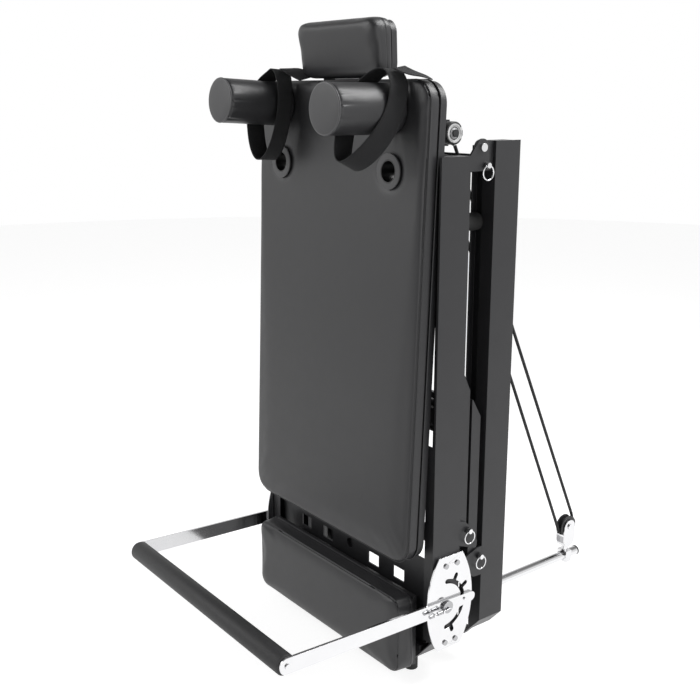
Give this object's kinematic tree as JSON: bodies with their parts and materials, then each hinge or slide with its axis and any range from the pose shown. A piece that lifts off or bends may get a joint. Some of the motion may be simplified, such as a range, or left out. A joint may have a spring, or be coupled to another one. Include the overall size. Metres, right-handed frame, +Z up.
{
  "type": "pilates reformer",
  "caption": "Folding pilates reformer, folded in half and standing upright, with padded carriage, shoulder rests, headrest, foot bar and rope pulleys on risers.",
  "frame": {"origin": "on the floor, at the middle of the folded machine's outline, cords left out", "axes": "+Z up, +X to the machine's right-hand leg side, -Y the way the face of the carriage pad looks"},
  "size_m": [0.719, 1.0609, 1.5233],
  "materials": {
    "frame_paint": "satin black powder coat",
    "board_black": "matt black covered board",
    "vinyl": "charcoal upholstery vinyl, fine grain",
    "vinyl_board": "board wrapped in the same charcoal vinyl",
    "chrome": "bright chrome plate",
    "steel": "zinc plated steel",
    "rubber": "matt black rubber",
    "foam": "matt black foam sleeve",
    "plastic": "black moulded plastic",
    "wheel_plastic": "black moulded wheel",
    "rope": "dark braided cord",
    "webbing": "black woven webbing"
  },
  "bodies": {
    "foot_frame": {"foot_rails": "frame_paint", "foot_end_tube": "frame_paint", "foot_cross_bars": "frame_paint", "spring_plate": "frame_paint", "platform_board": "board_black", "platform_pad": "vinyl", "adjuster_plates": "chrome", "adjuster_bolts": "steel", "rubber_feet": "rubber", "hinge_plates": "frame_paint", "hinge_bolts": "chrome", "frame_bumpers": "rubber", "foot_leg_brackets": "frame_paint", "springs": "steel", "foot_bar_bolts": "chrome"},
    "head_frame": {"head_rails": "frame_paint", "head_end_tube": "frame_paint", "head_cross_bars": "frame_paint", "hinge_lugs": "frame_paint", "head_leg_brackets": "frame_paint", "riser_sockets": "plastic", "riser_tubes": "chrome", "riser_caps": "plastic", "pulley_forks": "steel", "rope_right": "rope", "rope_left": "rope"},
    "pulley_right": {"pulley_wheel_right": "plastic"},
    "pulley_left": {"pulley_wheel_left": "plastic"},
    "foot_leg_set": {"foot_legs": "frame_paint"},
    "head_leg_set": {"head_legs": "frame_paint"},
    "axle_truck": {"foot_axle": "steel"},
    "carriage": {"carriage_frame": "frame_paint", "carriage_pad_back": "vinyl_board", "carriage_pad": "vinyl", "grommets": "plastic", "wheel_brackets": "frame_paint", "shoulder_posts": "steel", "shoulder_rests": "vinyl", "hand_straps": "webbing", "rope_tails": "rope", "headrest_hinge": "steel"},
    "headrest": {"headrest_board": "vinyl_board", "headrest_pad": "vinyl"},
    "foot_wheel_r": {"foot_wheel_right": "wheel_plastic"},
    "foot_wheel_l": {"foot_wheel_left": "wheel_plastic"},
    "head_wheel_r": {"head_wheel_right": "wheel_plastic"},
    "head_wheel_l": {"head_wheel_left": "wheel_plastic"},
    "roller_r": {"guide_roller_right": "wheel_plastic"},
    "roller_l": {"guide_roller_left": "wheel_plastic"},
    "foot_bar": {"foot_bar_arms": "chrome", "foot_bar_tube": "steel", "foot_bar_grip": "foam"},
    "latch_r": {"latch_plunger_right": "chrome"},
    "latch_l": {"latch_plunger_left": "chrome"},
    "hinge_pin_r": {"hinge_pin_right": "chrome"},
    "hinge_pin_l": {"hinge_pin_left": "chrome"},
    "foot_leg_pin_r": {"foot_leg_pin_right": "chrome"},
    "foot_leg_pin_l": {"foot_leg_pin_left": "chrome"},
    "head_leg_pin_r": {"head_leg_pin_right": "chrome"},
    "head_leg_pin_l": {"head_leg_pin_left": "chrome"}
  },
  "joints": [
    {"name": "fold", "type": "hinge", "parent": "foot_frame", "child": "head_frame", "pos_m": [0, 0.026, 1.256], "axis": [1, 0, 0], "range_deg": [0, 180]},
    {"name": "foot_legs_swing", "type": "hinge", "parent": "foot_frame", "child": "foot_leg_set", "pos_m": [0, 0.0015, 0.361], "axis": [1, 0, 0], "range_deg": [-90, 0]},
    {"name": "head_legs_swing", "type": "hinge", "parent": "head_frame", "child": "head_leg_set", "pos_m": [0, 0.035, 0.284], "axis": [1, 0, 0], "range_deg": [0, 90]},
    {"name": "carriage_slide", "type": "slide", "parent": "foot_frame", "child": "axle_truck", "axis": [0, 0, 1], "range_m": [0, 0.8], "deforming": ["springs", "rope_right", "rope_left"]},
    {"name": "carriage_level", "type": "hinge", "parent": "axle_truck", "child": "carriage", "pos_m": [0, -0.055, 0.369], "axis": [1, 0, 0], "range_deg": [0, 2.38]},
    {"name": "headrest_tilt", "type": "hinge", "parent": "carriage", "child": "headrest", "pos_m": [0, -0.08621, 1.39999], "axis": [1, 0, 0], "range_deg": [0, 15]},
    {"name": "foot_wheel_right_spin", "type": "hinge", "parent": "axle_truck", "child": "foot_wheel_r", "pos_m": [0.275, -0.055, 0.369], "axis": [1, 0, 0], "continuous": true},
    {"name": "head_wheel_right_spin", "type": "hinge", "parent": "carriage", "child": "head_wheel_r", "pos_m": [0.275, -0.01692, 1.28521], "axis": [1, 0, 0], "continuous": true},
    {"name": "guide_roller_right_spin", "type": "hinge", "parent": "carriage", "child": "roller_r", "pos_m": [0.2506, 0.00398, 1.28234], "axis": [0, 0.9991, -0.0415], "continuous": true},
    {"name": "pulley_right_spin", "type": "hinge", "parent": "head_frame", "child": "pulley_right", "pos_m": [0.24, 0.481, 0.223], "axis": [1, 0, 0], "continuous": true},
    {"name": "foot_wheel_left_spin", "type": "hinge", "parent": "axle_truck", "child": "foot_wheel_l", "pos_m": [-0.275, -0.055, 0.369], "axis": [1, 0, 0], "continuous": true},
    {"name": "head_wheel_left_spin", "type": "hinge", "parent": "carriage", "child": "head_wheel_l", "pos_m": [-0.275, -0.01692, 1.28521], "axis": [1, 0, 0], "continuous": true},
    {"name": "guide_roller_left_spin", "type": "hinge", "parent": "carriage", "child": "roller_l", "pos_m": [-0.2506, 0.00398, 1.28234], "axis": [0, 0.9991, -0.0415], "continuous": true},
    {"name": "pulley_left_spin", "type": "hinge", "parent": "head_frame", "child": "pulley_left", "pos_m": [-0.24, 0.481, 0.223], "axis": [1, 0, 0], "continuous": true},
    {"name": "foot_bar_swing", "type": "hinge", "parent": "foot_frame", "child": "foot_bar", "pos_m": [0, -0.061, 0.2065], "axis": [-1, 0, 0], "range_deg": [-62, 70]},
    {"name": "latch_right_pull", "type": "slide", "parent": "foot_bar", "child": "latch_r", "axis": [0, -1, 0], "range_m": [0, 0.006], "stiffness_N_per_m": 200},
    {"name": "hinge_pin_right_pull", "type": "slide", "parent": "foot_frame", "child": "hinge_pin_r", "axis": [1, 0, 0], "range_m": [0, 0.01], "stiffness_N_per_m": 200},
    {"name": "foot_leg_pin_right_pull", "type": "slide", "parent": "foot_frame", "child": "foot_leg_pin_r", "axis": [1, 0, 0], "range_m": [0, 0.01], "stiffness_N_per_m": 200},
    {"name": "head_leg_pin_right_pull", "type": "slide", "parent": "head_frame", "child": "head_leg_pin_r", "axis": [1, 0, 0], "range_m": [0, 0.01], "stiffness_N_per_m": 200},
    {"name": "latch_left_pull", "type": "slide", "parent": "foot_bar", "child": "latch_l", "axis": [0, -1, 0], "range_m": [0, 0.006], "stiffness_N_per_m": 200},
    {"name": "hinge_pin_left_pull", "type": "slide", "parent": "foot_frame", "child": "hinge_pin_l", "axis": [-1, 0, 0], "range_m": [0, 0.01], "stiffness_N_per_m": 200},
    {"name": "foot_leg_pin_left_pull", "type": "slide", "parent": "foot_frame", "child": "foot_leg_pin_l", "axis": [-1, 0, 0], "range_m": [0, 0.01], "stiffness_N_per_m": 200},
    {"name": "head_leg_pin_left_pull", "type": "slide", "parent": "head_frame", "child": "head_leg_pin_l", "axis": [-1, 0, 0], "range_m": [0, 0.01], "stiffness_N_per_m": 200}
  ],
  "couplings": [
    {"joint": "foot_legs_swing", "follows": "fold", "ratio": -0.5},
    {"joint": "head_legs_swing", "follows": "fold", "ratio": 0.5},
    {"joint": "carriage_level", "follows": "fold", "ratio": 0.013222}
  ]
}
